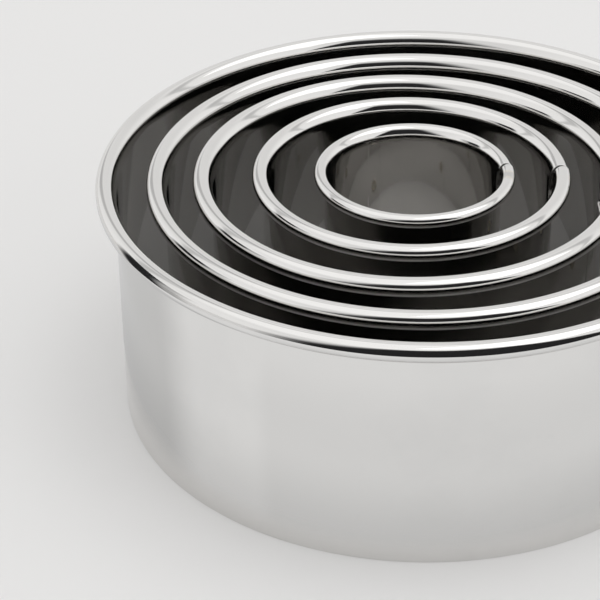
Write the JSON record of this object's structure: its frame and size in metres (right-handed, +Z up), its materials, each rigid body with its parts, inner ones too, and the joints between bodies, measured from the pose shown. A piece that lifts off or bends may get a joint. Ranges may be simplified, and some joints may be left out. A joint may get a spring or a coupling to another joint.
{
  "type": "nested round biscuit cutter set",
  "caption": "Nested set of round stainless pastry cutters, each an open ring of thin sheet with an outward curled rim, a lapped seam and spot welds.",
  "frame": {"origin": "centre of the largest cutter at its cutting edge, on the surface that the set stands on", "axes": "+Z up along the cutters' axes, from the cutting edges to the curled rims; -Y is the front; the seams are on the +X side"},
  "size_m": [0.0894, 0.0893, 0.035],
  "materials": {
    "polished_sheet": "polished",
    "spot_welds": "satin"
  },
  "bodies": {
    "largest_cutter": {"largest_cutter_band": "polished_sheet", "largest_cutter_welds": "spot_welds"},
    "large_cutter": {"large_cutter_band": "polished_sheet", "large_cutter_welds": "spot_welds"},
    "medium_cutter": {"medium_cutter_band": "polished_sheet", "medium_cutter_welds": "spot_welds"},
    "small_cutter": {"small_cutter_band": "polished_sheet", "small_cutter_welds": "spot_welds"},
    "smallest_cutter": {"smallest_cutter_band": "polished_sheet", "smallest_cutter_welds": "spot_welds"}
  },
  "joints": [
    {"name": "large_cutter_lift", "type": "slide", "parent": "largest_cutter", "child": "large_cutter", "axis": [0, 0, 1], "range_m": [0, 0.045]},
    {"name": "medium_cutter_lift", "type": "slide", "parent": "largest_cutter", "child": "medium_cutter", "axis": [0, 0, 1], "range_m": [0, 0.045]},
    {"name": "small_cutter_lift", "type": "slide", "parent": "largest_cutter", "child": "small_cutter", "axis": [0, 0, 1], "range_m": [0, 0.045]},
    {"name": "smallest_cutter_lift", "type": "slide", "parent": "largest_cutter", "child": "smallest_cutter", "axis": [0, 0, 1], "range_m": [0, 0.045]}
  ]
}
